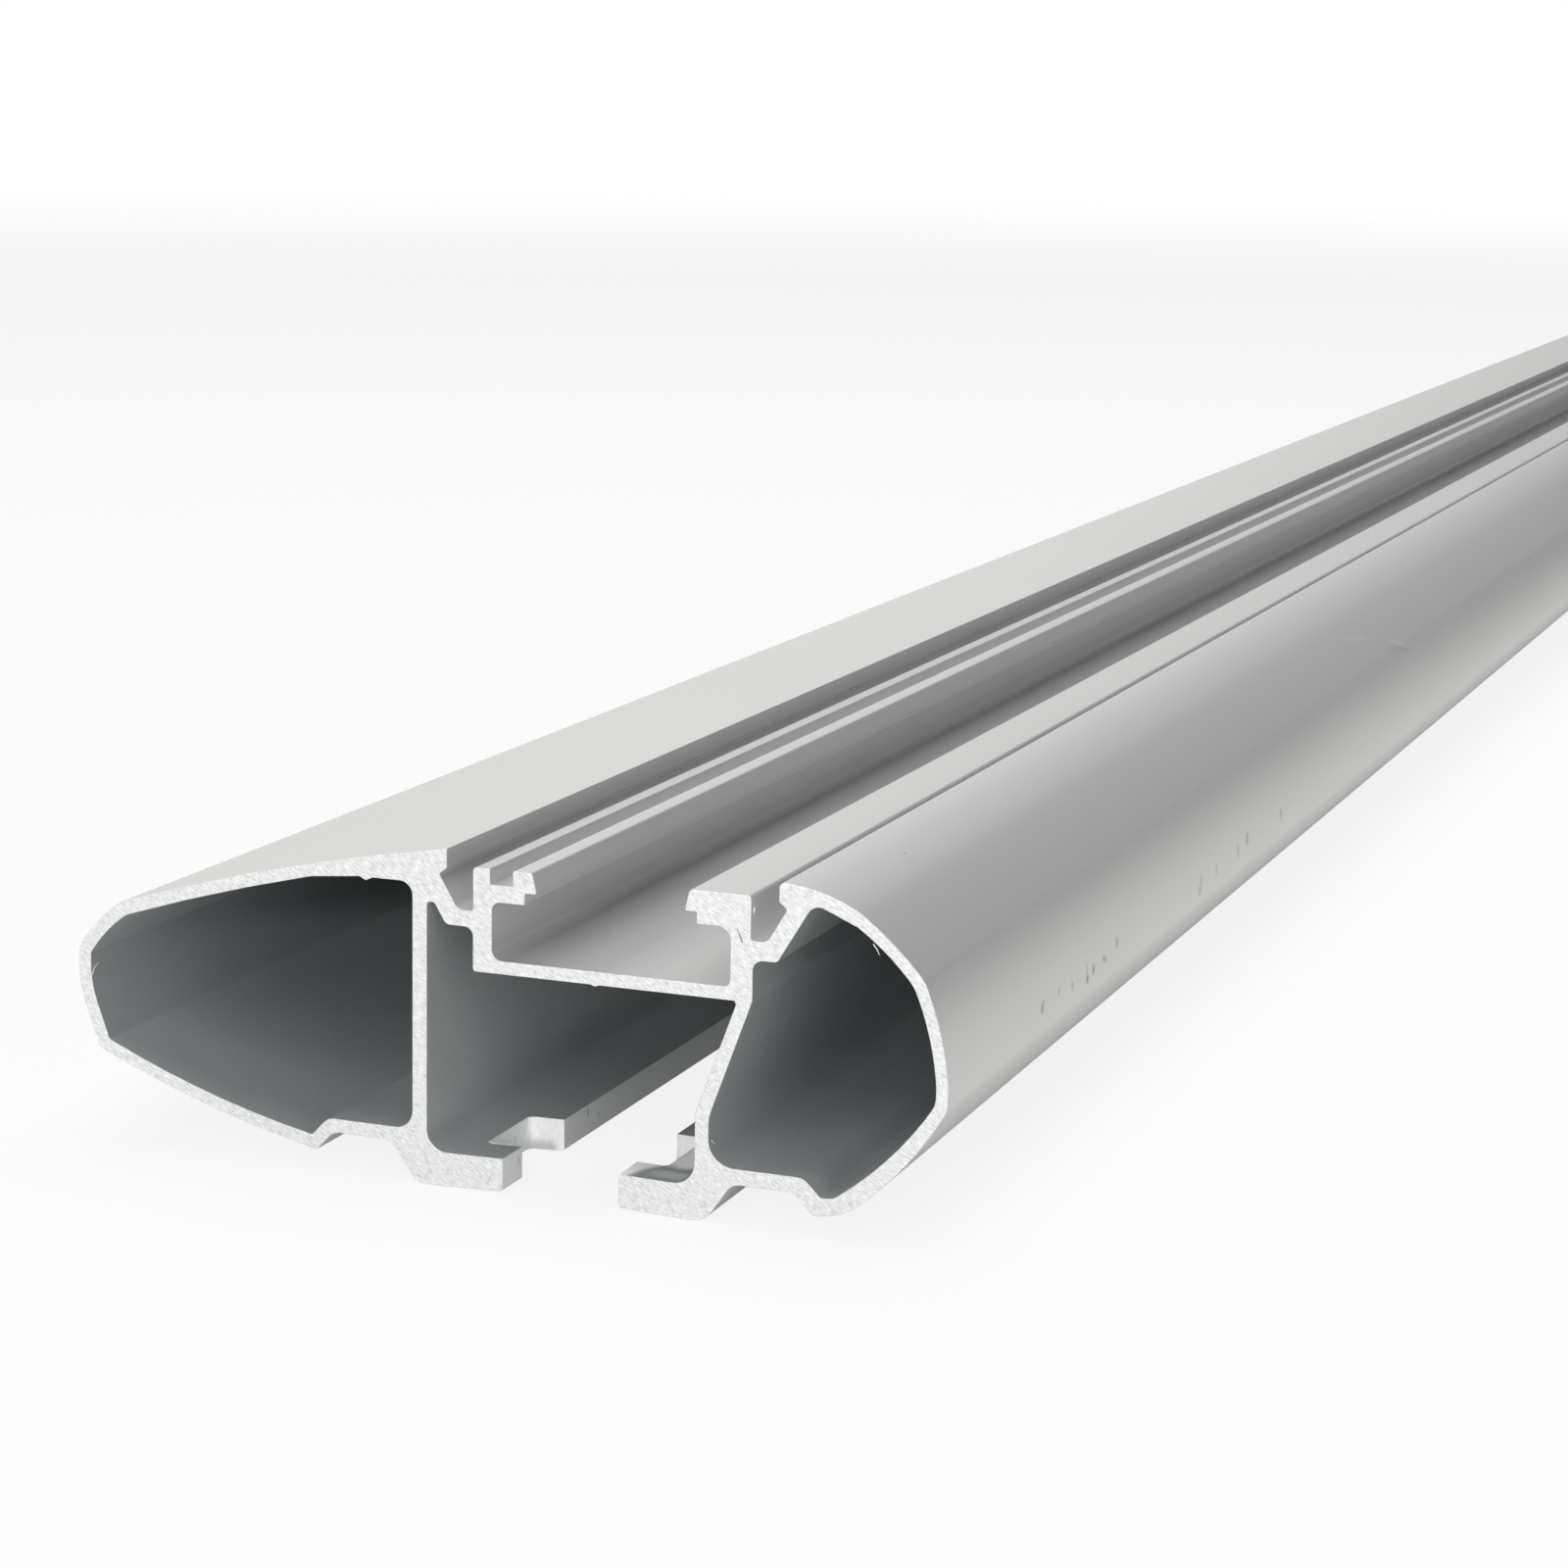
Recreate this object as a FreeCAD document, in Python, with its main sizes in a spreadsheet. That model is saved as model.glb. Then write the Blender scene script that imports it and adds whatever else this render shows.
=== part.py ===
"""Roof rack crossbar: one hollow aluminium extrusion with a wing section, cut square at both ends.

Frame: X runs across the bar with the pointed nose at -X, Y along it, Z up. The origin is the middle of the
footprint, on the surface that the two foot flanges stand on. Millimetres.
"""
import FreeCAD, Part
import math
import os
import re
import Sketcher

# Every size of the bar that can be set by itself
SIZES = {
    # Overall
    "bar_length": 1180,
    "bar_width": 80,
    "bar_height": 29.4,
    # Walls
    "skin_wall": 1.2,
    "web_wall": 1.35,
    "slot_floor_wall": 1.12,
    "front_slot_wall": 1.73,
    "rear_slot_wall": 1.95,
    "channel_wall": 1.2,
    "bulge_wall": 1.55,
    "rear_floor_wall": 1.35,
    "belly_wall": 1.08,
    "brow_wall": 1.48,
    # Seat of the cover strip, between the two crests
    "slot_inset": 29.6,
    "seat_width": 29.7,
    "seat_depth": 1.35,
    # Accessory slot under the seat
    "slot_width": 21.4,
    "slot_depth": 7.8,
    "mouth_width": 13.25,
    "mouth_flare": 0.4,
    "lip_thickness": 2.8,
    "tip_thickness": 1.8,
    "tip_overhang": 1.07,
    "lip_round": 0.3,
    "tip_round": 0.15,
    "slot_roof_round_front": 0.75,
    "slot_roof_round_rear": 1.2,
    "slot_floor_round_front": 0.95,
    "slot_floor_round_rear": 0.6,
    # Small groove along the top of the front lip
    "lip_groove_land": 1.55,
    "lip_groove_width": 2.1,
    "lip_groove_depth": 1.35,
    # Undercut grooves that hold the cover strip
    "strip_lip": 1.65,
    "strip_undercut": 0.72,
    "strip_undercut_drop": 0.55,
    "strip_groove_depth": 3.75,
    "strip_floor": 1.42,
    "strip_floor_round": 0.8,
    "strip_corner_round": 0.25,
    "front_strip_side_wall": 1.65,
    "front_strip_floor_wall": 1.4,
    "rear_strip_wall": 1.6,
    # Channel that the roof foot is pushed into, behind the web
    "web_inset": 46.3,
    "channel_width": 24.5,
    "channel_slope_height": 9.2,
    "channel_slope_run": 3.55,
    "channel_bend_round": 3,
    "channel_ceiling_round": 0.3,
    "pocket_drop": 4.7,
    "pocket_top_width": 0.7,
    "pocket_top_round": 0.3,
    "pocket_step_round": 0.8,
    # Two flanges that the roof foot clamps
    "front_flange_width": 7.1,
    "rear_flange_width": 6.75,
    "flange_tip_top": 3.12,
    "flange_root_top": 2.97,
    "flange_tip_lift": 0.26,
    "flange_root_round": 1.9,
    "flange_corner_round": 0.3,
    "foot_inset": 34.05,
    "foot_contact_width": 23.2,
    "foot_width": 26.4,
    "foot_corner_round": 2.1,
    # Shallow grooves outside the flanges
    "groove_inner_width": 31.2,
    "groove_height": 3.52,
    "groove_round": 1.4,
    "front_groove_inset": 55.2,
    "front_keel_inset": 56.75,
    "front_keel_height": 1.8,
    "front_keel_round": 0.2,
    "rear_groove_inset": 13.05,
    "rear_keel_inset": 11.25,
    "rear_keel_height": 1.75,
    "rear_keel_round": 0.4,
    # Nose
    "nose_top_drop": 12,
    "nose_bottom_drop": 15.5,
    "nose_top_round": 3.2,
    "nose_bottom_round": 9,
    "shoulder_drop": 7.65,
    "shoulder_inset": 4.2,
    "shoulder_round": 1.6,
    "heel_drop": 20.9,
    "heel_inset": 1.95,
    "heel_round": 0.9,
    "top_bow": 0.65,
    "nose_bow": 0.27,
    "belly_bow": 0.6,
    "chamber_top_bow": 0.22,
    # Tail
    "rear_crest_round": 0.45,
    "brow_inset": 7.75,
    "brow_drop": 1.9,
    "brow_bow": 0.45,
    "tail_wall": 1.02,
    "tail_shoulder_inset": 2.2,
    "tail_shoulder_drop": 6.95,
    "tail_shoulder_round": 2,
    "tail_shoulder_bow": 0.24,
    "tail_bow": 0.36,
    "tail_top_height": 13.95,
    "tail_bottom_height": 12,
    "tail_bottom_round": 2,
    "bulge_inset": 8.8,
    "bulge_height": 1.95,
    "bulge_bow": 0.72,
    "bulge_round": 6,
    # Insides of the two closed chambers
    "crest_block": 3.13,
    "crest_block_length": 9.6,
    "crest_block_step": 0.45,
    "chamber_top_round": 1.2,
    "chamber_root_round": 1.6,
    "chamber_corner_round": 0.5,
    "chamber_shoulder_round": 3,
    "chamber_bulge_bow": 0.62,
    "rear_strip_round": 0.9,
    "rear_root_round": 2.3,
    "rear_brow_round": 1.1,
    # Weld beads that the extrusion die leaves
    "chamber_bead_place": 4.35,
    "chamber_bead_width": 1.2,
    "chamber_bead_height": 0.3,
    "slot_bead_place": 9.8,
    "slot_bead_width": 0.8,
    "slot_bead_height": 0.14,
    # Notch milled through both flanges near each end
    "notch_offset": 4,
    "notch_length": 8.85,
    "front_notch_depth": 3.35,
    "rear_notch_depth": 2.75,
    "notch_round": 0.6,
}

# Everything across the bar is placed from the tail, so that a wider bar has a longer nose
SLOT_CENTRE = "(bar_width / 2 - slot_inset)"
WEB_FACE = "(bar_width / 2 - web_inset)"
CHANNEL_REAR = "(bar_width / 2 - web_inset + channel_width)"
FOOT_CENTRE = "(bar_width / 2 - foot_inset)"

NAME = re.compile(r"[a-z_]+")
ORIGIN_AXES = -1


class Corner:
    """A corner of a section: its place, its rounding, and how far the edge that leaves it bows outwards."""

    def __init__(self, x, z, rounding=None, bow=None):
        self.x = x
        self.z = z
        self.rounding = rounding
        self.bow = bow


def on_sheet(expression):
    """The expression with each size name turned into a reference to its cell."""
    return NAME.sub(lambda word: "Sizes." + word[0] if word[0] in SIZES else word[0], expression)


def make_sheet(doc):
    """The sheet that every sketch and feature reads its sizes from."""
    sheet = doc.addObject("Spreadsheet::Sheet", "Sizes")
    for row, (name, value) in enumerate(SIZES.items(), start=1):
        sheet.set(f"A{row}", name.replace("_", " "))
        sheet.set(f"B{row}", str(value))
        sheet.setAlias(f"B{row}", name)
    doc.recompute()
    return sheet


def inset(before, corner, after, wall, next_wall=None, rounding=None, bow=None):
    """The corner of an inner outline, one wall inside the two outer edges that meet at a corner."""
    first_x, first_z = f"({corner.x} - ({before.x}))", f"({corner.z} - ({before.z}))"
    next_x, next_z = f"({after.x} - ({corner.x}))", f"({after.z} - ({corner.z}))"
    first_length = f"sqrt({first_x}^2 + {first_z}^2)"
    next_length = f"sqrt({next_x}^2 + {next_z}^2)"
    turn = f"({first_x} * {next_z} - {first_z} * {next_x})"
    along_first = f"{next_wall or wall} * {next_length}"
    along_next = f"{wall} * {first_length}"
    x = f"{corner.x} + ({along_first} * {first_x} - {along_next} * {next_x}) / {turn}"
    z = f"{corner.z} + ({along_first} * {first_z} - {along_next} * {next_z}) / {turn}"
    return Corner(x, z, rounding, bow)


def origin_plane(body, role):
    """One of the body's own origin planes."""
    return next(plane for plane in body.Origin.OriginFeatures if plane.Role == role)


class Batch:
    """Constraints that go onto a sketch together, some with a value that follows the sheet."""

    def __init__(self, sketch):
        self.sketch = sketch
        self.constraints = []
        self.followers = []

    def add(self, *constraint, follows=None):
        if follows:
            self.followers.append((self.sketch.ConstraintCount + len(self.constraints), follows))
        self.constraints.append(Sketcher.Constraint(*constraint))

    def apply(self):
        self.sketch.addConstraint(self.constraints)
        for index, expression in self.followers:
            self.sketch.setExpression(f"Constraints[{index}]", on_sheet(expression))
        self.sketch.Document.recompute()


def place_corners(sketch, corners):
    """Construction points at the corners, numbered as the corners are, and the places that they come to."""
    sketch.addGeometry([Part.Point(FreeCAD.Vector(1, 1, 0)) for _ in corners], True)
    batch = Batch(sketch)
    for number, corner in enumerate(corners):
        batch.add("DistanceX", ORIGIN_AXES, 1, number, 1, 1, follows=corner.x)
        batch.add("DistanceY", ORIGIN_AXES, 1, number, 1, 1, follows=corner.z)
    batch.apply()
    return [sketch.getPoint(number, 1) for number in range(len(corners))]


def turned(vector, angle):
    """The vector turned by an angle in the sketch plane."""
    cosine, sine = math.cos(angle), math.sin(angle)
    return FreeCAD.Vector(cosine * vector.x - sine * vector.y, sine * vector.x + cosine * vector.y, 0)


def arc_between(centre, radius, start, end, clockwise):
    """The arc about a centre from one point to another."""
    angles = [math.atan2(point.y - centre.y, point.x - centre.x) for point in (start, end)]
    if clockwise:
        angles.reverse()
    circle = Part.Circle(centre, FreeCAD.Vector(0, 0, 1), radius)
    return Part.ArcOfCircle(circle, *angles)


def chords(corners, places, sheet):
    """For the edge that leaves each corner: its chord, its bow's radius and how far its ends turn from it."""
    edges = []
    for corner, start, end in zip(corners, places, places[1:] + places[:1]):
        chord = end - start
        radius, swing = None, 0
        if corner.bow:
            rise = getattr(sheet, corner.bow)
            radius = rise / 2 + chord.Length ** 2 / (8 * rise)
            swing = math.asin(chord.Length / (2 * radius))
        edges.append((chord, radius, swing))
    return edges


def rounding_at(place, before, after, radius):
    """Where a rounding starts and ends, its centre, and whether it runs clockwise."""
    arriving = turned(before[0], -before[2]).normalize()
    leaving = turned(after[0], after[2]).normalize()
    turn = math.atan2(arriving.x * leaving.y - arriving.y * leaving.x, arriving.dot(leaving))
    length = radius * math.tan(abs(turn) / 2)
    start = place - arriving * length
    centre = start + turned(arriving, math.copysign(math.pi / 2, turn)) * radius
    return start, place + leaving * length, centre, turn < 0


def draw_outline(body, name, plane, corners, sheet):
    """A closed sketch round the corners, with rounded corners. Where an edge bows, the round is clockwise."""
    sketch = body.newObject("Sketcher::SketchObject", name)
    sketch.AttachmentSupport = [(origin_plane(body, plane), "")]
    sketch.MapMode = "FlatFace"
    places = place_corners(sketch, corners)
    edges = chords(corners, places, sheet)
    count = len(corners)

    starts, stops, arcs = list(places), places[1:] + places[:1], {}
    for number, corner in enumerate(corners):
        if corner.rounding:
            radius = getattr(sheet, corner.rounding)
            start, end, centre, clockwise = rounding_at(places[number], edges[number - 1], edges[number],
                                                        radius)
            arcs[number] = (arc_between(centre, radius, start, end, clockwise), clockwise, radius)
            stops[number - 1], starts[number] = start, end

    geometry = []
    for (chord, radius, swing), place, start, stop in zip(edges, places, starts, stops):
        if radius:
            inward = turned(chord, -math.pi / 2).normalize()
            centre = place + chord / 2 + inward * (radius * math.cos(swing))
            geometry.append(arc_between(centre, radius, start, stop, True))
        else:
            geometry.append(Part.LineSegment(start, stop))
    geometry.extend(arc for arc, _, _ in arcs.values())
    sketch.addGeometry(geometry, False)

    # A bowed edge and a clockwise rounding are entered through their second end
    batch = Batch(sketch)
    rounding_numbers = {number: 2 * count + place for place, number in enumerate(arcs)}
    for number, corner in enumerate(corners):
        last = (number - 1) % count
        before, after = count + last, count + number
        before_end = 1 if edges[last][1] else 2
        after_start = 2 if edges[number][1] else 1
        if number in arcs:
            arc = rounding_numbers[number]
            arc_start, arc_end = (2, 1) if arcs[number][1] else (1, 2)
            batch.add("PointOnObject", number, 1, before)
            batch.add("PointOnObject", number, 1, after)
            batch.add("Tangent", before, before_end, arc, arc_start)
            batch.add("Tangent", arc, arc_end, after, after_start)
            batch.add("Radius", arc, arcs[number][2], follows=corner.rounding)
        else:
            batch.add("Coincident", before, before_end, number, 1)
            batch.add("Coincident", after, after_start, number, 1)
        if corner.bow:
            following = corners[(number + 1) % count]
            chord_squared = f"(({following.x} - ({corner.x}))^2 + ({following.z} - ({corner.z}))^2)"
            batch.add("Radius", after, edges[number][1],
                      follows=f"{corner.bow} / 2 + {chord_squared} / (8 * {corner.bow})")
    batch.apply()
    if not sketch.FullyConstrained:
        raise RuntimeError(f"{name} is not fully constrained")
    return sketch


def slot_half(side, name):
    """One half of the seat and of the accessory slot, from its crest down to the slot's floor."""
    wall = f"{SLOT_CENTRE} {side} (slot_width / 2 + front_slot_wall)"
    crest = f"{SLOT_CENTRE} {side} seat_width / 2"
    step = f"{SLOT_CENTRE} {side} (mouth_width / 2 + tip_overhang)"
    lip_top = "bar_height - seat_depth"
    strip_floor = f"{lip_top} - strip_groove_depth"
    tip_bottom = f"{lip_top} - tip_thickness"
    roof = f"{lip_top} - lip_thickness"
    return {
        "crest": Corner(crest, "bar_height"),
        "seat": Corner(crest, lip_top),
        "strip_lip": Corner(crest, "bar_height - strip_lip", "tip_round"),
        "undercut": Corner(f"{SLOT_CENTRE} {side} (seat_width / 2 + strip_undercut)",
                           "bar_height - strip_lip - strip_undercut_drop", "strip_corner_round"),
        "strip_outer": Corner(f"{wall} {side} strip_floor", strip_floor, "strip_floor_round"),
        "strip_inner": Corner(wall, strip_floor, "strip_corner_round"),
        "lip_edge": Corner(wall, lip_top, "lip_round"),
        "tip_top": Corner(f"{SLOT_CENTRE} {side} (mouth_width / 2 + mouth_flare)", lip_top, "lip_round"),
        "tip_bottom": Corner(f"{SLOT_CENTRE} {side} mouth_width / 2", tip_bottom, "tip_round"),
        "step_top": Corner(step, tip_bottom, "tip_round"),
        "step_bottom": Corner(step, roof, "tip_round"),
        "roof": Corner(f"{SLOT_CENTRE} {side} slot_width / 2", roof, f"slot_roof_round_{name}"),
        "floor": Corner(f"{SLOT_CENTRE} {side} slot_width / 2", f"{lip_top} - slot_depth",
                        f"slot_floor_round_{name}"),
    }


def foot_half(side, root, flange_width):
    """One foot flange, from the shallow groove outside it to its root in the channel."""
    outward = "-" if side == "+" else "+"
    tip = f"{root} {outward} {flange_width}"
    return {
        "groove_start": Corner(f"{FOOT_CENTRE} {side} groove_inner_width / 2", "groove_height", "groove_round"),
        "foot": Corner(f"{FOOT_CENTRE} {side} foot_width / 2", "0", "foot_corner_round"),
        "contact": Corner(f"{FOOT_CENTRE} {side} foot_contact_width / 2", "0"),
        "tip_bottom": Corner(tip, "flange_tip_lift"),
        "tip_top": Corner(tip, "flange_tip_top"),
        "root": Corner(root, "flange_root_top", "flange_root_round"),
    }


FRONT_SLOT, REAR_SLOT = slot_half("-", "front"), slot_half("+", "rear")
FRONT_FOOT = foot_half("-", WEB_FACE, "front_flange_width")
REAR_FOOT = foot_half("+", CHANNEL_REAR, "rear_flange_width")

TAIL = {
    "brow": Corner("bar_width / 2 - brow_inset", "bar_height - brow_drop", bow="tail_shoulder_bow"),
    "shoulder": Corner("bar_width / 2 - tail_shoulder_inset", "bar_height - tail_shoulder_drop",
                       "tail_shoulder_round", "tail_bow"),
    "top": Corner("bar_width / 2", "tail_top_height"),
    "bottom": Corner("bar_width / 2", "tail_bottom_height", "tail_bottom_round", "bulge_bow"),
    "bulge": Corner("bar_width / 2 - bulge_inset", "bulge_height", "bulge_round"),
    "keel": Corner("bar_width / 2 - rear_keel_inset", "rear_keel_height", "rear_keel_round"),
    "groove_end": Corner("bar_width / 2 - rear_groove_inset", "groove_height", "groove_round"),
}

NOSE = {
    "groove_end": Corner("bar_width / 2 - front_groove_inset", "groove_height", "groove_round"),
    "keel": Corner("bar_width / 2 - front_keel_inset", "front_keel_height", "front_keel_round", "belly_bow"),
    "heel": Corner("-bar_width / 2 + heel_inset", "bar_height - heel_drop", "heel_round"),
    "bottom": Corner("-bar_width / 2", "bar_height - nose_bottom_drop", "nose_bottom_round"),
    "top": Corner("-bar_width / 2", "bar_height - nose_top_drop", "nose_top_round", "nose_bow"),
    "shoulder": Corner("-bar_width / 2 + shoulder_inset", "bar_height - shoulder_drop", "shoulder_round",
                       "top_bow"),
}

# Corners of the foot channel that the tail's chamber follows too
CHANNEL_BEND = Corner(CHANNEL_REAR, "channel_slope_height", "channel_bend_round")
CHANNEL_CEILING = Corner(f"{CHANNEL_REAR} + channel_slope_run",
                         "bar_height - seat_depth - slot_depth - slot_floor_wall", "channel_ceiling_round")


def picked(corners, *names):
    """The corners with these names, in this order."""
    return [corners[name] for name in names]


def bead(middle, width, base, tip):
    """The three corners of a small weld bead that stands off a wall, in the order of growing x."""
    return [Corner(f"{middle} - {width} / 2", base), Corner(middle, tip),
            Corner(f"{middle} + {width} / 2", base)]


def envelope():
    """The outside of the bar with its seat and its feet, clockwise from the front crest."""
    rear_crest = Corner(REAR_SLOT["crest"].x, "bar_height", "rear_crest_round", "brow_bow")
    return (picked(FRONT_SLOT, "crest", "seat") + [REAR_SLOT["seat"], rear_crest]
            + list(TAIL.values())
            + picked(REAR_FOOT, "groove_start", "foot", "contact", "tip_bottom")
            + picked(FRONT_FOOT, "tip_bottom", "contact", "foot", "groove_start")
            + list(NOSE.values()))


def above_seat(corner, side, run):
    """The two corners that take a cut from an edge of the seat up and clear of the bar."""
    x = f"{corner.x} {side} 2 * {run}"
    return [Corner(x, corner.z), Corner(x, "bar_height")]


def slot_outline():
    """The slot that takes the bolts of whatever is carried."""
    names = ("tip_top", "tip_bottom", "step_top", "step_bottom", "roof", "floor")
    front, rear = picked(FRONT_SLOT, *names), picked(REAR_SLOT, *names)
    return (above_seat(front[0], "-", "lip_round")[::-1] + front + rear[::-1]
            + above_seat(rear[0], "+", "lip_round"))


def strip_groove_outline(half, inward):
    """The undercut groove between a crest and its lip, which holds an edge of the cover strip."""
    corners = picked(half, "crest", "strip_lip", "undercut", "strip_outer", "strip_inner", "lip_edge")
    return corners + above_seat(corners[-1], inward, "lip_round")


def lip_groove_outline():
    """The small groove along the top of the front lip."""
    start = f"{FRONT_SLOT['lip_edge'].x} + lip_groove_land"
    end = f"{start} + lip_groove_width"
    lip_top = FRONT_SLOT["lip_edge"].z
    floor = f"{lip_top} - lip_groove_depth"
    first, last = Corner(start, lip_top, "tip_round"), Corner(end, lip_top, "tip_round")
    return (above_seat(first, "-", "tip_round")[::-1]
            + [first, Corner(start, floor, "tip_round"), Corner(end, floor, "tip_round"), last]
            + above_seat(last, "+", "tip_round"))


def channel_outline():
    """The channel that the roof foot is pushed into, with the pocket that rises beside the web."""
    wall = FRONT_SLOT["strip_inner"].x
    ceiling = CHANNEL_CEILING.z
    bead_middle = f"{FRONT_SLOT['floor'].x} + slot_bead_place"
    below = "-flange_tip_lift"
    mouth = []
    for half in (REAR_FOOT, FRONT_FOOT):
        tip = Corner(half["tip_bottom"].x, half["tip_bottom"].z, "flange_corner_round")
        mouth.append([Corner(half["contact"].x, below), half["contact"], tip, half["tip_top"], half["root"]])
    pocket_step = inset(*picked(FRONT_SLOT, "undercut", "strip_outer", "strip_inner"),
                        "front_strip_side_wall", "front_strip_floor_wall", rounding="pocket_step_round")
    pocket = [
        Corner(wall, ceiling, "channel_ceiling_round"),
        Corner(wall, f"{FRONT_SLOT['strip_inner'].z} - front_strip_floor_wall", "pocket_step_round"),
        pocket_step,
        Corner(f"{WEB_FACE} + pocket_top_width", "bar_height - pocket_drop", "pocket_top_round"),
        Corner(WEB_FACE, "bar_height - pocket_drop", "pocket_top_round"),
    ]
    slot_bead = bead(bead_middle, "slot_bead_width", ceiling, f"{ceiling} - slot_bead_height")
    return mouth[0] + [CHANNEL_BEND, CHANNEL_CEILING] + slot_bead[::-1] + pocket + mouth[1][::-1]


def front_chamber_outline():
    """The closed chamber in the nose, one skin inside the outside."""
    web_front = f"{WEB_FACE} - web_wall"
    roof = "bar_height - crest_block"
    bead_middle = f"{web_front} - chamber_bead_place"
    follows = [FRONT_FOOT["groove_start"]] + list(NOSE.values()) + [FRONT_SLOT["crest"]]
    roundings = ("groove_round", "front_keel_round", "chamber_corner_round", "nose_bottom_round",
                 "chamber_corner_round", "shoulder_round")
    bows = (None, "belly_bow", None, None, "nose_bow", "chamber_top_bow")
    corners = [
        Corner(web_front, roof, "chamber_top_round"),
        Corner(web_front, "groove_height + skin_wall", "chamber_root_round"),
    ]
    walls = ("skin_wall", "skin_wall", "belly_wall", "skin_wall", "skin_wall", "skin_wall", "skin_wall")
    for index, corner in enumerate(follows[1:-1]):
        corners.append(inset(follows[index], corner, follows[index + 2], walls[index], walls[index + 1],
                             rounding=roundings[index], bow=bows[index]))
    corners.append(Corner(f"{web_front} - crest_block_length", f"{roof} - crest_block_step"))
    corners += bead(bead_middle, "chamber_bead_width", roof, f"{roof} - chamber_bead_height")
    return corners


def rear_chamber_outline():
    """The closed chamber in the tail, between the rear skin, the slot and the foot channel."""
    slot_side = f"{SLOT_CENTRE} + slot_width / 2 + rear_slot_wall"
    undercut = REAR_SLOT["undercut"]
    strip_corner = inset(*picked(REAR_SLOT, "strip_inner", "strip_outer", "undercut"), "rear_strip_wall",
                         rounding="chamber_corner_round")
    brow_z = "bar_height - brow_wall"
    lean = (f"({undercut.x} - ({REAR_SLOT['strip_outer'].x}))"
            f" / ({undercut.z} - ({REAR_SLOT['strip_outer'].z}))")
    brow_start = Corner(f"{strip_corner.x} + ({brow_z} - ({strip_corner.z})) * {lean}", brow_z,
                        "rear_brow_round")
    slope_start = inset(REAR_FOOT["root"], CHANNEL_BEND, CHANNEL_CEILING, "channel_wall",
                        rounding="channel_bend_round")
    climb = f"({CHANNEL_CEILING.z} - channel_slope_height) / channel_slope_run"
    slope_end = Corner(slot_side, f"{slope_start.z} + ({slot_side} - ({slope_start.x})) * {climb}",
                       "chamber_corner_round")
    skin = [REAR_SLOT["crest"]] + list(TAIL.values()) + [REAR_FOOT["groove_start"]]
    walls = (
        ("skin_wall", "tail_wall"),
        ("tail_wall", "tail_wall"),
        ("tail_wall", "tail_wall"),
        ("tail_wall", "tail_wall"),
        ("bulge_wall", "bulge_wall"),
        ("bulge_wall", "bulge_wall"),
        ("bulge_wall", "rear_floor_wall"),
    )
    roundings = (None, "chamber_shoulder_round", None, "tail_bottom_round", "chamber_corner_round",
                 "chamber_corner_round", "groove_round")
    bows = ("tail_shoulder_bow", "tail_bow", None, "chamber_bulge_bow", None, None, None)
    corners = [brow_start]
    for index, corner in enumerate(skin[1:-1]):
        corners.append(inset(skin[index], corner, skin[index + 2], *walls[index],
                             rounding=roundings[index], bow=bows[index]))
    corners += [
        Corner(f"{CHANNEL_REAR} + channel_wall", "groove_height + rear_floor_wall",
               "rear_root_round"),
        slope_start,
        slope_end,
        Corner(slot_side, f"{REAR_SLOT['strip_inner'].z} - rear_strip_wall", "rear_strip_round"),
        strip_corner,
    ]
    return corners


def notch_outline():
    """The notch through both foot flanges, seen from above."""
    front = f"{FRONT_FOOT['tip_top'].x} - front_notch_depth"
    rear = f"{REAR_FOOT['tip_top'].x} + rear_notch_depth"
    near = "-bar_length / 2 + notch_offset"
    far = f"{near} + notch_length"
    return [Corner(front, near, "notch_round"), Corner(front, far, "notch_round"),
            Corner(rear, far, "notch_round"), Corner(rear, near, "notch_round")]


def cut(body, name, plane, corners, sheet, upwards_by=None):
    """A cut along the whole bar, or upwards by a height, which must take material away."""
    volume = body.Shape.Volume
    outline = draw_outline(body, f"{name}Outline", plane, corners, sheet)
    pocket = body.newObject("PartDesign::Pocket", name)
    pocket.Profile = outline
    if upwards_by:
        pocket.setExpression("Length", on_sheet(upwards_by))
        pocket.Reversed = True
    else:
        pocket.Type = "ThroughAll"
        pocket.SideType = "Symmetric"
    body.Document.recompute()
    if body.Shape.Volume >= volume:
        raise RuntimeError(f"{name} cuts nothing")
    return pocket


def make_crossbar(doc, sheet):
    """The bar: its envelope pushed out along its length, its cuts, and the notches at both ends."""
    body = doc.addObject("PartDesign::Body", "Crossbar")
    body.Label = "crossbar_profile"
    outline = draw_outline(body, "EnvelopeOutline", "XZ_Plane", envelope(), sheet)
    bar = body.newObject("PartDesign::Pad", "Envelope")
    bar.Profile = outline
    bar.SideType = "Symmetric"
    bar.setExpression("Length", "Sizes.bar_length")
    doc.recompute()
    lengthwise = {
        "AccessorySlot": slot_outline(),
        "FrontStripGroove": strip_groove_outline(FRONT_SLOT, "+"),
        "RearStripGroove": strip_groove_outline(REAR_SLOT, "-"),
        "LipGroove": lip_groove_outline(),
        "FootChannel": channel_outline(),
        "FrontChamber": front_chamber_outline(),
        "RearChamber": rear_chamber_outline(),
    }
    for name, corners in lengthwise.items():
        cut(body, name, "XZ_Plane", corners, sheet)
    notch = cut(body, "Notch", "XY_Plane", notch_outline(), sheet,
                upwards_by="flange_root_top + flange_root_round")
    volume = body.Shape.Volume
    far_notch = body.newObject("PartDesign::Mirrored", "FarNotch")
    far_notch.Originals = [notch]
    far_notch.MirrorPlane = (origin_plane(body, "XZ_Plane"), [""])
    body.Tip = far_notch
    doc.recompute()
    if body.Shape.Volume >= volume:
        raise RuntimeError("The far notch cuts nothing")
    return body


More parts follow.
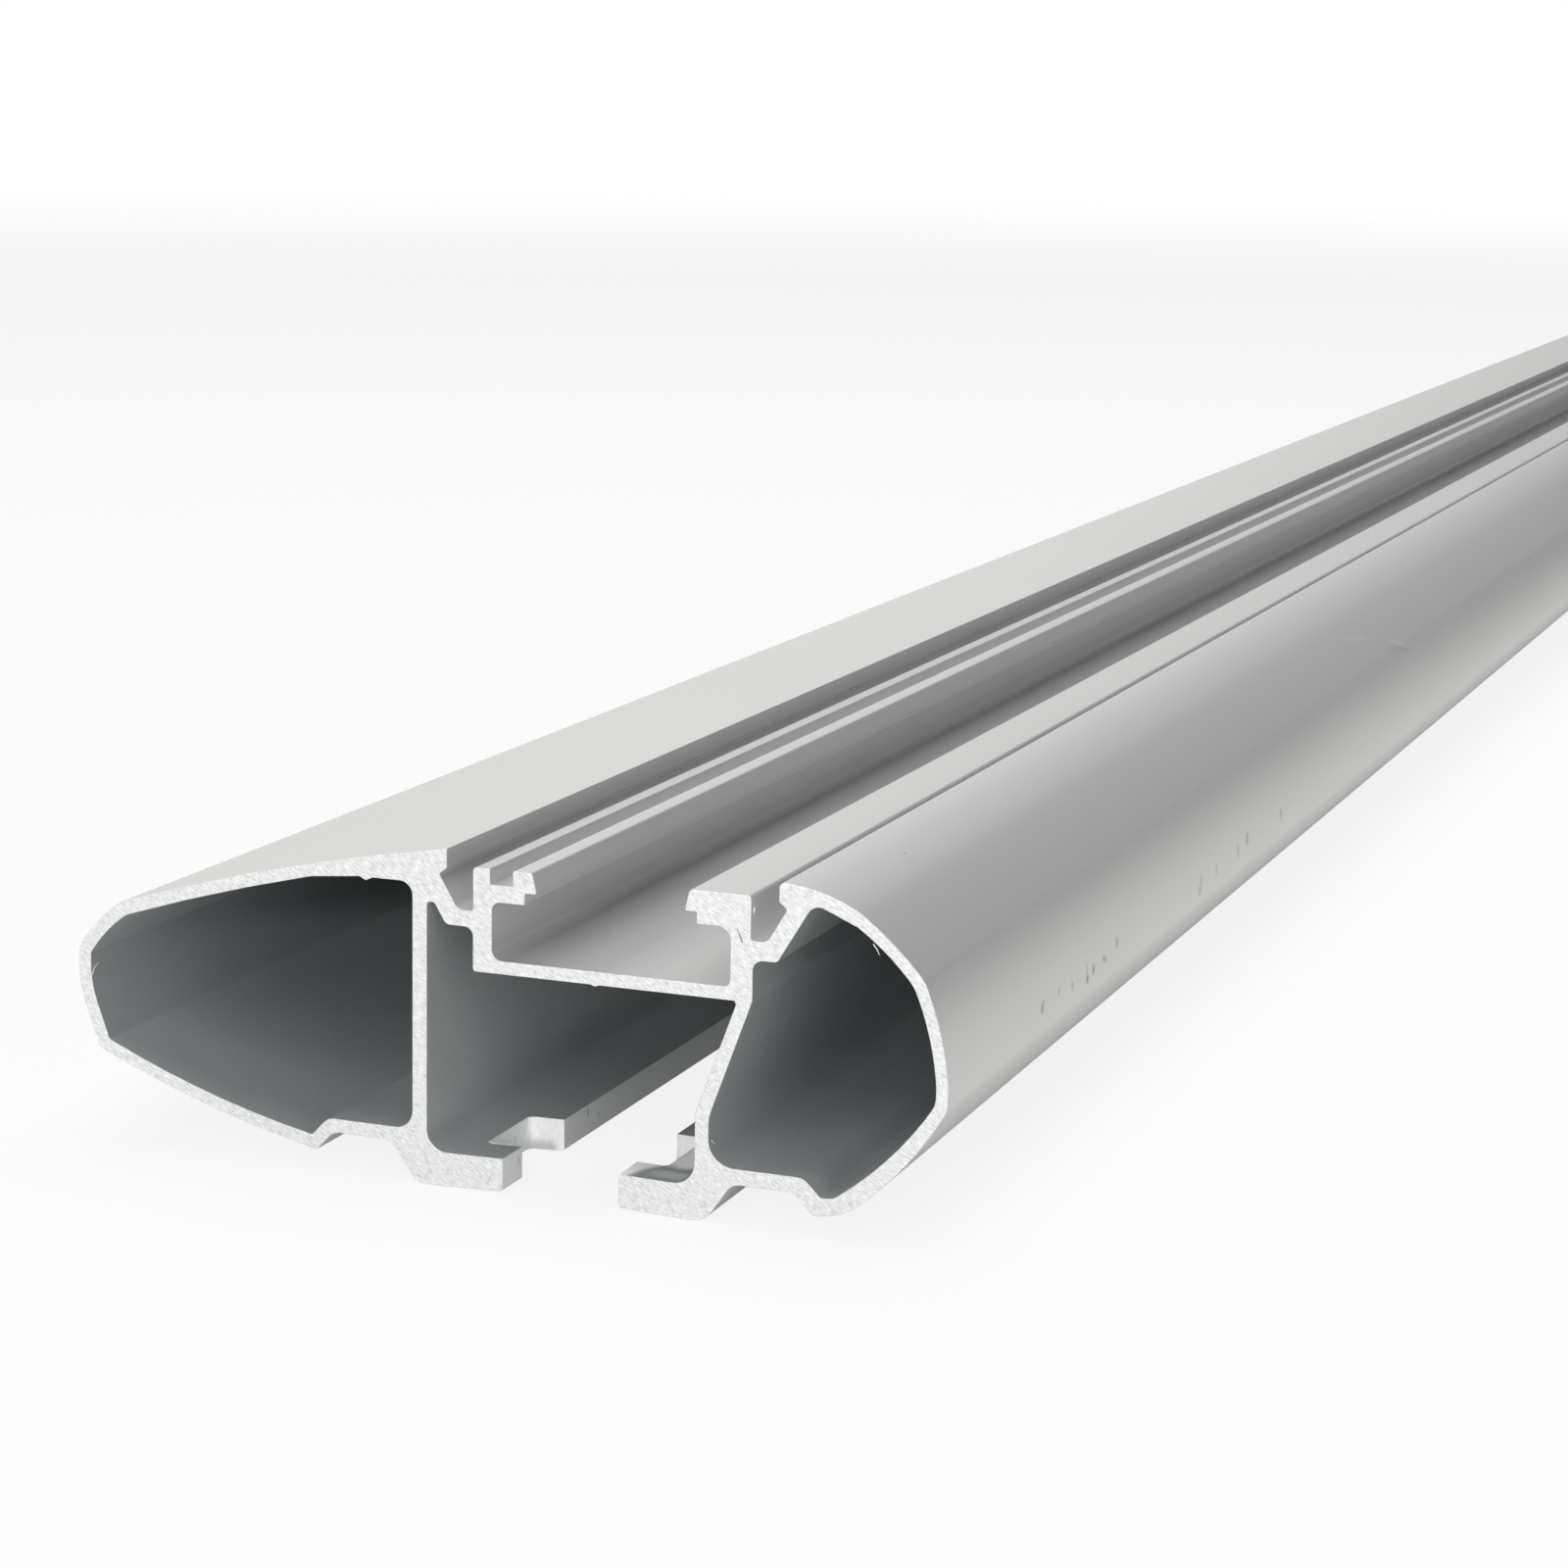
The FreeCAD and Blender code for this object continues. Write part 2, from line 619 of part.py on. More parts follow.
def main():
    doc = FreeCAD.newDocument("Crossbar")
    sheet = make_sheet(doc)
    body = make_crossbar(doc, sheet)
    doc.recompute()
    for item in doc.Objects:
        if "Invalid" in item.State or "Error" in item.State:
            raise RuntimeError(f"{item.Label} failed: {item.State}")
    if body.Shape.isNull() or not body.Shape.isValid() or len(body.Shape.Solids) != 1:
        raise RuntimeError(f"{body.Label} is not one valid solid")
    os.makedirs("parts", exist_ok=True)
    body.Shape.exportStep(f"parts/{body.Label}.step")
    box = body.Shape.BoundBox
    print(f"{body.Label}: {box.XLength:.3f} x {box.YLength:.3f} x {box.ZLength:.3f} mm,",
          f"{body.Shape.Volume / 1000:.2f} cm3")


main()
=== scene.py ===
"""Looks of a roof rack crossbar: a bare anodised aluminium extrusion, sawn off square.

The bar stands on its two foot flanges. X runs across it with the nose at -X, Y along it, Z up. The sizes
of its section and of its marks are in millimetres, as on its drawing, and everything else is in metres.
"""
import bmesh
import bpy
import math
from mathutils import Matrix, Vector


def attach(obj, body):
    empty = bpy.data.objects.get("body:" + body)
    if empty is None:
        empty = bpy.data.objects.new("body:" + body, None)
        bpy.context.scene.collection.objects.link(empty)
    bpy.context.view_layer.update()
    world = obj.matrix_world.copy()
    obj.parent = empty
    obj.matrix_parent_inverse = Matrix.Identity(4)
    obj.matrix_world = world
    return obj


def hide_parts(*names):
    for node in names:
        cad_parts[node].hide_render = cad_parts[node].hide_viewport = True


MM = 0.001

# Overall sizes, walls and the notches near each end
LENGTH = 1180
WIDTH, HEIGHT = 80, 29.4
TAIL, NOSE = WIDTH / 2, -WIDTH / 2
SKIN_WALL, TAIL_WALL, BULGE_WALL, BELLY_WALL, WEB_WALL = 1.2, 1.02, 1.55, 1.08, 1.35
FRONT_STRIP_WALL, REAR_STRIP_WALL, REAR_SLOT_WALL, REAR_FLOOR_WALL = 1.4, 1.6, 1.95, 1.35
CHANNEL_WALL = 1.2
SLOT_CENTRE, WEB_FACE, CHANNEL_REAR, FOOT_CENTRE = 10.4, -6.3, 18.2, 5.95
SLOT_HALF, LIP_HALF, MOUTH_HALF = 10.7, 7.695, 6.625
LIP_TOP, LIP_STEP, LIP_UNDERSIDE, STRIP_FLOOR, SLOT_FLOOR = 28.05, 26.25, 25.25, 24.3, 20.25
CHANNEL_CEILING, CHANNEL_KNEE, CHANNEL_FLARE = 19.13, 9.2, 3.55
GROOVE_TOP, FLANGE_TOP, POCKET_TOP = 3.52, 3.12, HEIGHT - 4.7
EDGE_BREAK = 0.05
NOTCH_FRONT, NOTCH_REAR = -2.55, 14.2
NOTCH_OFFSET, NOTCH_LENGTH, NOTCH_ROUND, NOTCH_HEIGHT = 4, 8.85, 0.6, 6

# How finely a bowed edge and a rounded corner are drawn, and the least angle that looks like an edge
BOW_STEP, ROUND_STEP, SHARP_ANGLE = math.radians(2), math.radians(9), math.radians(24)


# Section


class Edge:
    """A straight or outward-bowed edge of the section, followed with the solid on its right."""

    def __init__(self, start, end, bow):
        self.start, self.end = start, end
        self.centre, self.radius = None, None
        if bow:
            chord = end - start
            self.radius = bow / 2 + chord.length_squared / (8 * bow)
            right = Vector((chord.y, -chord.x)).normalized()
            self.centre = (start + end) / 2 + right * (self.radius - bow)

    def heading(self, point):
        if self.centre is None:
            return (self.end - self.start).normalized()
        arm = point - self.centre
        return Vector((arm.y, -arm.x)).normalized()

    def depth(self, point):
        """How far a point lies to the edge's right, and which way that grows."""
        if self.centre is None:
            heading = self.heading(point)
            right = Vector((heading.y, -heading.x))
            return (point - self.start).dot(right), right
        arm = point - self.centre
        return self.radius - arm.length, -arm.normalized()

    def nearest(self, point):
        depth, inwards = self.depth(point)
        return point - inwards * depth

    def points(self, start, end):
        """The points after the start and before the end of a stretch of the edge."""
        if self.centre is None:
            return []
        return swing(self.centre, start, end, True, BOW_STEP)[1:-1]


def swing(centre, start, end, clockwise, step):
    """Points along an arc, both ends included."""
    first = math.atan2(start.y - centre.y, start.x - centre.x)
    last = math.atan2(end.y - centre.y, end.x - centre.x)
    sweep = (first - last) % math.tau if clockwise else (last - first) % math.tau
    count = max(3, math.ceil(sweep / step))
    radius = (start - centre).length
    turn = -sweep if clockwise else sweep
    angles = [first + turn * n / count for n in range(count + 1)]
    return [centre + radius * Vector((math.cos(angle), math.sin(angle))) for angle in angles]


def rounding(before, after, corner, radius):
    """The arc that rounds a corner, touching the edges on both sides of it."""
    arriving, leaving = before.heading(corner), after.heading(corner)
    clockwise = arriving.cross(leaving) < 0
    target = radius if clockwise else -radius
    centre = corner.copy()
    for _ in range(8):
        (first, a), (second, b) = before.depth(centre), after.depth(centre)
        determinant = a.x * b.y - a.y * b.x
        miss_a, miss_b = target - first, target - second
        centre += Vector((miss_a * b.y - miss_b * a.y, miss_b * a.x - miss_a * b.x)) / determinant
    return swing(centre, before.nearest(centre), after.nearest(centre), clockwise, ROUND_STEP)


def outline(corners):
    """A closed loop of points round corners, each given as (x, z, rounding, bow of the edge after it)."""
    places = [Vector(corner[:2]) for corner in corners]
    following = places[1:] + places[:1]
    edges = [Edge(place, after, corner[3]) for place, after, corner in zip(places, following, corners)]
    arcs = []
    for n, corner in enumerate(corners):
        arcs.append(rounding(edges[n - 1], edges[n], places[n], corner[2]) if corner[2] else [places[n]])
    loop = []
    for n, arc in enumerate(arcs):
        loop += arc + edges[n].points(arc[-1], arcs[(n + 1) % len(arcs)][0])
    return loop


def inset(before, corner, after, wall, next_wall=None):
    """Where two edges of an outline meet once both have moved in by a wall."""
    corner = Vector(corner[:2])
    first, following = corner - Vector(before[:2]), Vector(after[:2]) - corner
    turn = first.cross(following)
    shift = (next_wall or wall) * following.length * first - wall * first.length * following
    return tuple(corner + shift / turn)


def slot_side(side, roof_round, floor_round):
    """The seat, strip groove, lip and slot wall on one side of the accessory slot, from the crest inwards."""
    wall = SLOT_CENTRE + side * 12.43
    crest = SLOT_CENTRE + side * 14.85
    strip = [
        (crest, HEIGHT, 0, 0),
        (crest, 27.75, 0.15, 0),
        (crest + side * 0.72, 27.2, 0.25, 0),
        (wall + side * 1.42, STRIP_FLOOR, 0.8, 0),
        (wall, STRIP_FLOOR, 0.25, 0),
        (wall, LIP_TOP, 0.3, 0),
    ]
    slot = [
        (SLOT_CENTRE + side * 7.025, LIP_TOP, 0.3, 0),
        (SLOT_CENTRE + side * MOUTH_HALF, LIP_STEP, 0.15, 0),
        (SLOT_CENTRE + side * LIP_HALF, LIP_STEP, 0.15, 0),
        (SLOT_CENTRE + side * LIP_HALF, LIP_UNDERSIDE, 0.15, 0),
        (SLOT_CENTRE + side * SLOT_HALF, LIP_UNDERSIDE, roof_round, 0),
        (SLOT_CENTRE + side * SLOT_HALF, SLOT_FLOOR, floor_round, 0),
    ]
    return strip, slot


def foot_side(side, root, width):
    """One foot flange, from the shallow groove outside it to its root."""
    tip = root - side * width
    return [
        (FOOT_CENTRE + side * 15.6, GROOVE_TOP, 1.4, 0),
        (FOOT_CENTRE + side * 13.2, 0, 2.1, 0),
        (FOOT_CENTRE + side * 11.6, 0, 0, 0),
        (tip, 0.26, 0.3, 0),
        (tip, FLANGE_TOP, 0, 0),
        (root, 2.97, 1.9, 0),
    ]


FRONT_STRIP, FRONT_SLOT = slot_side(-1, 0.75, 0.95)
REAR_STRIP, REAR_SLOT = slot_side(1, 1.2, 0.6)
REAR_STRIP[0] = (REAR_STRIP[0][0], HEIGHT, 0.45, 0.45)
FRONT_FOOT, REAR_FOOT = foot_side(-1, WEB_FACE, 7.1), foot_side(1, CHANNEL_REAR, 6.75)

LIP_GROOVE = [
    (-0.48, LIP_TOP, 0.15, 0),
    (-0.48, 26.7, 0.15, 0),
    (1.62, 26.7, 0.15, 0),
    (1.62, LIP_TOP, 0.15, 0),
]

TAIL_SKIN = [
    (TAIL - 7.75, HEIGHT - 1.9, 0, 0.24),
    (TAIL - 2.2, HEIGHT - 6.95, 2, 0.36),
    (TAIL, 13.95, 0, 0),
    (TAIL, 12, 2, 0.72),
    (TAIL - 8.8, 1.95, 6, 0),
    (TAIL - 11.25, 1.75, 0.4, 0),
    (TAIL - 13.05, GROOVE_TOP, 1.4, 0),
]

NOSE_SKIN = [
    (-15.2, GROOVE_TOP, 1.4, 0),
    (-16.75, 1.8, 0.2, 0.6),
    (NOSE + 1.95, 8.5, 0.9, 0),
    (NOSE, 13.9, 9, 0),
    (NOSE, 17.4, 3.2, 0.27),
    (NOSE + 4.2, HEIGHT - 7.65, 1.6, 0.65),
]

# The small dip in the ceiling is a weld bead
POCKET_STEP = inset(*FRONT_STRIP[2:5], 1.65, FRONT_STRIP_WALL)
CHANNEL = [
    (CHANNEL_REAR, CHANNEL_KNEE, 3, 0),
    (CHANNEL_REAR + CHANNEL_FLARE, CHANNEL_CEILING, 0.3, 0),
    (9.5, CHANNEL_CEILING, 0, 0),
    (9.1, CHANNEL_CEILING - 0.14, 0, 0),
    (8.7, CHANNEL_CEILING, 0, 0),
    (-2.03, CHANNEL_CEILING, 0.3, 0),
    (-2.03, STRIP_FLOOR - FRONT_STRIP_WALL, 0.8, 0),
    (*POCKET_STEP, 0.8, 0),
    (WEB_FACE + 0.7, POCKET_TOP, 0.3, 0),
    (WEB_FACE, POCKET_TOP, 0.3, 0),
]

OUTSIDE = (FRONT_STRIP + LIP_GROOVE + FRONT_SLOT + REAR_SLOT[::-1] + REAR_STRIP[:0:-1] + [REAR_STRIP[0]]
           + TAIL_SKIN + REAR_FOOT + CHANNEL + FRONT_FOOT[::-1] + NOSE_SKIN)


def front_chamber():
    """The closed chamber in the nose."""
    web_front, roof = WEB_FACE - WEB_WALL, HEIGHT - 3.13
    skin = [FRONT_FOOT[0]] + NOSE_SKIN + [FRONT_STRIP[0]]
    walls = (SKIN_WALL, SKIN_WALL, BELLY_WALL, SKIN_WALL, SKIN_WALL, SKIN_WALL, SKIN_WALL)
    finishes = ((1.4, 0), (0.2, 0.6), (0.5, 0), (9, 0), (0.5, 0.27), (1.6, 0.22))
    corners = [(web_front, roof, 1.2, 0), (web_front, GROOVE_TOP + SKIN_WALL, 1.6, 0)]
    for n, finish in enumerate(finishes):
        corners.append(inset(*skin[n:n + 3], walls[n], walls[n + 1]) + finish)
    bead = web_front - 4.35
    return corners + [
        (web_front - 9.6, roof - 0.45, 0, 0),
        (bead - 0.6, roof, 0, 0),
        (bead, roof - 0.3, 0, 0),
        (bead + 0.6, roof, 0, 0),
    ]


def rear_chamber():
    """The closed chamber in the tail."""
    side = SLOT_CENTRE + SLOT_HALF + REAR_SLOT_WALL
    undercut, strip_outer, strip_inner = REAR_STRIP[2:5]
    strip_corner = inset(strip_inner, strip_outer, undercut, REAR_STRIP_WALL)
    brow = HEIGHT - 1.48
    lean = (undercut[0] - strip_outer[0]) / (undercut[1] - strip_outer[1])
    slope = inset(REAR_FOOT[-1], CHANNEL[0], CHANNEL[1], CHANNEL_WALL)
    climb = (CHANNEL_CEILING - CHANNEL_KNEE) / CHANNEL_FLARE
    skin = [REAR_STRIP[0]] + TAIL_SKIN + [REAR_FOOT[0]]
    walls = ([(SKIN_WALL, TAIL_WALL)] + [(TAIL_WALL, TAIL_WALL)] * 3 + [(BULGE_WALL, BULGE_WALL)] * 2
             + [(BULGE_WALL, REAR_FLOOR_WALL)])
    finishes = ((0, 0.24), (3, 0.36), (0, 0), (2, 0.62), (0.5, 0), (0.5, 0), (1.4, 0))
    corners = [(strip_corner[0] + (brow - strip_corner[1]) * lean, brow, 1.1, 0)]
    for n, finish in enumerate(finishes):
        corners.append(inset(*skin[n:n + 3], *walls[n]) + finish)
    return corners + [
        (CHANNEL_REAR + CHANNEL_WALL, GROOVE_TOP + REAR_FLOOR_WALL, 2.3, 0),
        (*slope, 3, 0),
        (side, slope[1] + (side - slope[0]) * climb, 0.5, 0),
        (side, STRIP_FLOOR - REAR_STRIP_WALL, 0.9, 0),
        (*strip_corner, 0.5, 0),
    ]


def section_mesh(loops):
    """The section's loops as edges in the XY plane, in metres, each point with the way into the metal."""
    mesh = bpy.data.meshes.new("section")
    points, edges, inward = [], [], []
    for solid_on_right, loop in loops:
        first = len(points)
        count = len(loop)
        for n, point in enumerate(loop):
            arriving = (point - loop[n - 1]).normalized()
            leaving = (loop[(n + 1) % count] - point).normalized()
            along = (arriving + leaving).normalized()
            right = Vector((along.y, -along.x)) * (1 if solid_on_right else -1)
            inward.append(right / max(0.5, along.dot(arriving)))
            points.append((point.x * MM, point.y * MM, 0))
            edges.append((first + n, first + (n + 1) % count))
    mesh.from_pydata(points, edges, [])
    attribute = mesh.attributes.new("inward", "FLOAT_VECTOR", "POINT")
    for n, vector in enumerate(inward):
        attribute.data[n].vector = (vector.x, vector.y, 0)
    return mesh


# Geometry node trees


class Nodes:
    """Nodes being joined up in a tree."""

    def __init__(self, tree):
        self.nodes, self.links = tree.nodes, tree.links

    def node(self, kind, inputs=(), **settings):
        node = self.nodes.new(kind)
        for name, value in settings.items():
            setattr(node, name, value)
        for place, value in dict(inputs).items():
            socket = node.inputs[place]
            if isinstance(value, bpy.types.NodeSocket):
                self.links.new(value, socket)
            else:
                socket.default_value = value
        return node.outputs

    def math(self, operation, first, second=0.0):
        return self.node("ShaderNodeMath", {0: first, 1: second}, operation=operation)[0]

    def vectors(self, operation, first, second=(0, 0, 0)):
        return self.node("ShaderNodeVectorMath", {0: first, 1: second}, operation=operation)


class Tree(Nodes):
    """A geometry node tree under construction."""

    def __init__(self, name, inputs):
        self.tree = bpy.data.node_groups.new(name, "GeometryNodeTree")
        super().__init__(self.tree)
        self.tree.interface.new_socket("Geometry", in_out="INPUT", socket_type="NodeSocketGeometry")
        self.keys = {}
        for label, kind in inputs.items():
            socket = self.tree.interface.new_socket(label, in_out="INPUT", socket_type=f"NodeSocket{kind}")
            self.keys[label] = socket.identifier
        self.tree.interface.new_socket("Geometry", in_out="OUTPUT", socket_type="NodeSocketGeometry")
        self.inputs = self.nodes.new("NodeGroupInput").outputs

    def vector(self, x=0.0, y=0.0, z=0.0):
        return self.node("ShaderNodeCombineXYZ", {0: x, 1: y, 2: z})[0]

    def end(self, geometry, material):
        realised = self.node("GeometryNodeRealizeInstances", {0: geometry})[0]
        painted = self.node("GeometryNodeSetMaterial", {0: realised, "Material": material})[0]
        self.node("NodeGroupOutput", {0: painted})

    def made(self, name, mesh, values):
        """The plain mesh that the tree makes of a mesh, its faces pointing out."""
        source = bpy.data.objects.new(name, mesh)
        bpy.context.scene.collection.objects.link(source)
        modifier = source.modifiers.new(name, "NODES")
        modifier.node_group = self.tree
        for label, value in values.items():
            modifier[self.keys[label]] = value
        evaluated = source.evaluated_get(bpy.context.evaluated_depsgraph_get())
        result = bpy.data.meshes.new_from_object(evaluated)
        bpy.data.objects.remove(source)
        bm = bmesh.new()
        bm.from_mesh(result)
        bmesh.ops.remove_doubles(bm, verts=bm.verts, dist=1e-6)
        bmesh.ops.recalc_face_normals(bm, faces=bm.faces)
        bm.to_mesh(result)
        bm.free()
        return result


def extrusion_tree():
    """Pushes a section out along the bar, with its edges just broken at both saw cuts."""
    tree = Tree("Extrusion", {"Length": "Float", "Edge break": "Float", "Material": "Material"})
    section, length, edge_break, material = tree.inputs[:4]
    half = tree.math("MULTIPLY", length, 0.5)
    inward = tree.node("GeometryNodeInputNamedAttribute", {"Name": "inward"}, data_type="FLOAT_VECTOR")[0]
    into_metal = tree.node("ShaderNodeVectorMath", {0: inward, "Scale": edge_break}, operation="SCALE")[0]
    out_again = tree.node("ShaderNodeVectorMath", {0: into_metal, "Scale": -1.0}, operation="SCALE")[0]
    rim = tree.node("GeometryNodeSetPosition", {"Geometry": section, "Offset": into_metal})[0]

    back = tree.math("MULTIPLY", half, -1.0)
    start = tree.node("GeometryNodeTransform", {"Geometry": rim, "Translation": tree.vector(z=back)})[0]
    breaks = tree.vector(z=edge_break)
    body = tree.vector(z=tree.math("SUBTRACT", length, tree.math("MULTIPLY", edge_break, 2.0)))
    walls, top = start, None
    for stretch, shift in ((breaks, out_again), (body, None), (breaks, into_metal)):
        inputs = {"Mesh": walls, "Offset": stretch}
        if top:
            inputs["Selection"] = top
        walls, top, _ = tree.node("GeometryNodeExtrudeMesh", inputs, mode="EDGES")[:3]
        if shift:
            moved = {"Geometry": walls, "Selection": top, "Offset": shift}
            walls = tree.node("GeometryNodeSetPosition", moved)[0]

    rim_curve = tree.node("GeometryNodeMeshToCurve", {0: rim})[0]
    face = tree.node("GeometryNodeFillCurve", {0: rim_curve}, mode="NGONS")[0]
    near = tree.node("GeometryNodeTransform", {"Geometry": face, "Translation": tree.vector(z=half)})[0]
    far = tree.node("GeometryNodeTransform", {"Geometry": face, "Translation": tree.vector(z=back)})[0]
    join = tree.nodes.new("GeometryNodeJoinGeometry")
    for part in (walls, near, far):
        tree.links.new(part, join.inputs[0])
    upright = {"Geometry": join.outputs[0], "Rotation": (math.pi / 2, 0, 0)}
    tree.end(tree.node("GeometryNodeTransform", upright)[0], material)
    return tree


def notch_tree():
    """The milling cuts through both flanges, one near each end of the bar."""
    sizes = ("Length", "Offset", "Notch length", "Front", "Rear", "Height", "Corner")
    tree = Tree("Notches", {**dict.fromkeys(sizes, "Float"), "Material": "Material"})
    _, length, offset, along, front, rear, height, corner, material = tree.inputs[:9]
    width = tree.math("SUBTRACT", rear, front)
    plan = tree.node("GeometryNodeCurvePrimitiveQuadrilateral", {"Width": width, "Height": along},
                     mode="RECTANGLE")[0]
    plan = tree.node("GeometryNodeFilletCurve", {"Curve": plan, "Radius": corner, "Count": 6}, mode="POLY")[0]
    floor = tree.node("GeometryNodeFillCurve", {0: plan}, mode="NGONS")[0]
    block = tree.node("GeometryNodeExtrudeMesh", {"Mesh": floor, "Offset": tree.vector(z=height),
                                                  "Individual": False}, mode="FACES")[0]
    cutter = tree.nodes.new("GeometryNodeJoinGeometry")
    for part in (floor, block):
        tree.links.new(part, cutter.inputs[0])
    middle = tree.math("MULTIPLY", tree.math("ADD", front, rear), 0.5)
    half = tree.math("MULTIPLY", length, 0.5)
    inside = tree.math("ADD", offset, tree.math("MULTIPLY", along, 0.5))
    place = tree.math("SUBTRACT", half, inside)
    below = tree.math("MULTIPLY", height, -0.4)
    row = tree.node("GeometryNodeMeshLine", {
        "Count": 2, "Start Location": tree.vector(middle, tree.math("MULTIPLY", place, -1.0), below),
        "Offset": tree.vector(y=tree.math("MULTIPLY", place, 2.0))})[0]
    cuts = tree.node("GeometryNodeInstanceOnPoints", {"Points": row, "Instance": cutter.outputs[0]})[0]
    tree.end(cuts, material)
    return tree


def burr_tree():
    """Turns lines into thin slivers of metal, thickest where they leave the edge."""
    tree = Tree("Burrs", {"Thickness": "Float", "Tip": "Float", "Material": "Material"})
    lines, thickness, tip, material = tree.inputs[:4]
    threads = tree.node("GeometryNodeMeshToCurve", {0: lines})[0]
    along = tree.node("GeometryNodeSplineParameter")["Factor"]
    taper = tree.node("ShaderNodeMapRange", {"Value": along, "To Min": thickness,
                                             "To Max": tree.math("MULTIPLY", thickness, tip)})[0]
    tapered = tree.node("GeometryNodeSetCurveRadius", {"Curve": threads, "Radius": taper})[0]
    ring = tree.node("GeometryNodeCurvePrimitiveCircle", {"Resolution": 5, "Radius": 1.0}, mode="RADIUS")[0]
    slivers = tree.node("GeometryNodeCurveToMesh", {"Curve": tapered, "Profile Curve": ring, "Scale": taper,
                                                    "Fill Caps": True})[0]
    tree.end(slivers, material)
    return tree


# Finishes


def mark_group():
    """How much a short, soft-edged mark covers a place, from the mark's two ends."""
    group = bpy.data.node_groups.new("mark", "ShaderNodeTree")
    for label, kind in (("Place", "Vector"), ("Start", "Vector"), ("End", "Vector"), ("Width", "Float"),
                        ("Strength", "Float")):
        group.interface.new_socket(label, in_out="INPUT", socket_type=f"NodeSocket{kind}")
    group.interface.new_socket("Cover", in_out="OUTPUT", socket_type="NodeSocketFloat")
    tree = Nodes(group)
    place, start, end, width, strength = tree.nodes.new("NodeGroupInput").outputs[:5]
    arm, line = tree.vectors("SUBTRACT", place, start)[0], tree.vectors("SUBTRACT", end, start)[0]
    reach, whole = tree.vectors("DOT_PRODUCT", arm, line)[1], tree.vectors("DOT_PRODUCT", line, line)[1]
    share = tree.node("ShaderNodeClamp", {0: tree.math("DIVIDE", reach, whole)})[0]
    foot = tree.node("ShaderNodeVectorMath", {0: line, "Scale": share}, operation="SCALE")[0]
    away = tree.vectors("DISTANCE", arm, foot)[1]
    inner, outer = tree.math("MULTIPLY", width, 0.2), tree.math("MULTIPLY", width, 0.8)
    cover = tree.node("ShaderNodeMapRange", {"Value": away, "From Min": inner, "From Max": outer,
                                             "To Min": strength, "To Max": 0.0},
                      interpolation_type="SMOOTHSTEP")[0]
    tree.node("NodeGroupOutput", {0: cover})
    return group


class Shader(Nodes):
    """A material under construction, on a Principled shader."""

    def __init__(self, name, **settings):
        self.material = bpy.data.materials.new(name)
        self.material.use_nodes = True
        super().__init__(self.material.node_tree)
        self.surface = self.nodes["Principled BSDF"]
        for label, value in settings.items():
            self.surface.inputs[label.replace("_", " ")].default_value = value
        self.place = self.node("ShaderNodeTexCoord")["Object"]

    def stretched(self, scale, turn=(0, 0, 0)):
        """The place on the bar with its axes turned, then drawn out by the scale along each of them."""
        return self.node("ShaderNodeMapping", {"Vector": self.place, "Rotation": turn, "Scale": scale},
                         vector_type="TEXTURE")[0]

    def noise(self, vector, scale, detail=3.0, roughness=0.55):
        return self.node("ShaderNodeTexNoise", {"Vector": vector, "Scale": scale, "Detail": detail,
                                                "Roughness": roughness})["Fac"]

    def span(self, value, low, high, to_low, to_high):
        return self.node("ShaderNodeMapRange", {"Value": value, "From Min": low, "From Max": high,
                                                "To Min": to_low, "To Max": to_high})[0]

    def blend(self, factor, first, second):
        """A colour between two, each given as red, green and blue or as a socket."""
        node = self.nodes.new("ShaderNodeMix")
        node.data_type = "RGBA"
        for place, value in ((0, factor), (6, first), (7, second)):
            if isinstance(value, bpy.types.NodeSocket):
                self.links.new(value, node.inputs[place])
            else:
                node.inputs[place].default_value = (*value, 1) if isinstance(value, tuple) else value
        return node.outputs[2]

    def marks(self, marks):
        """Cover of the marks, each given as its start, end (both in mm), width and strength."""
        cover = None
        for start, end, width, strength in marks:
            one = self.node("ShaderNodeGroup", {
                "Place": self.place, "Start": Vector(start) * MM, "End": Vector(end) * MM,
                "Width": width * MM, "Strength": strength}, node_tree=bpy.data.node_groups["mark"])[0]
            cover = self.math("MAXIMUM", cover, one) if cover else one
        return cover

    def bump(self, height, strength, distance, on=None):
        inputs = {"Height": height, "Strength": strength, "Distance": distance}
        if on:
            inputs["Normal"] = on
        return self.node("ShaderNodeBump", inputs)[0]

    def set(self, label, value):
        self.links.new(value, self.surface.inputs[label])


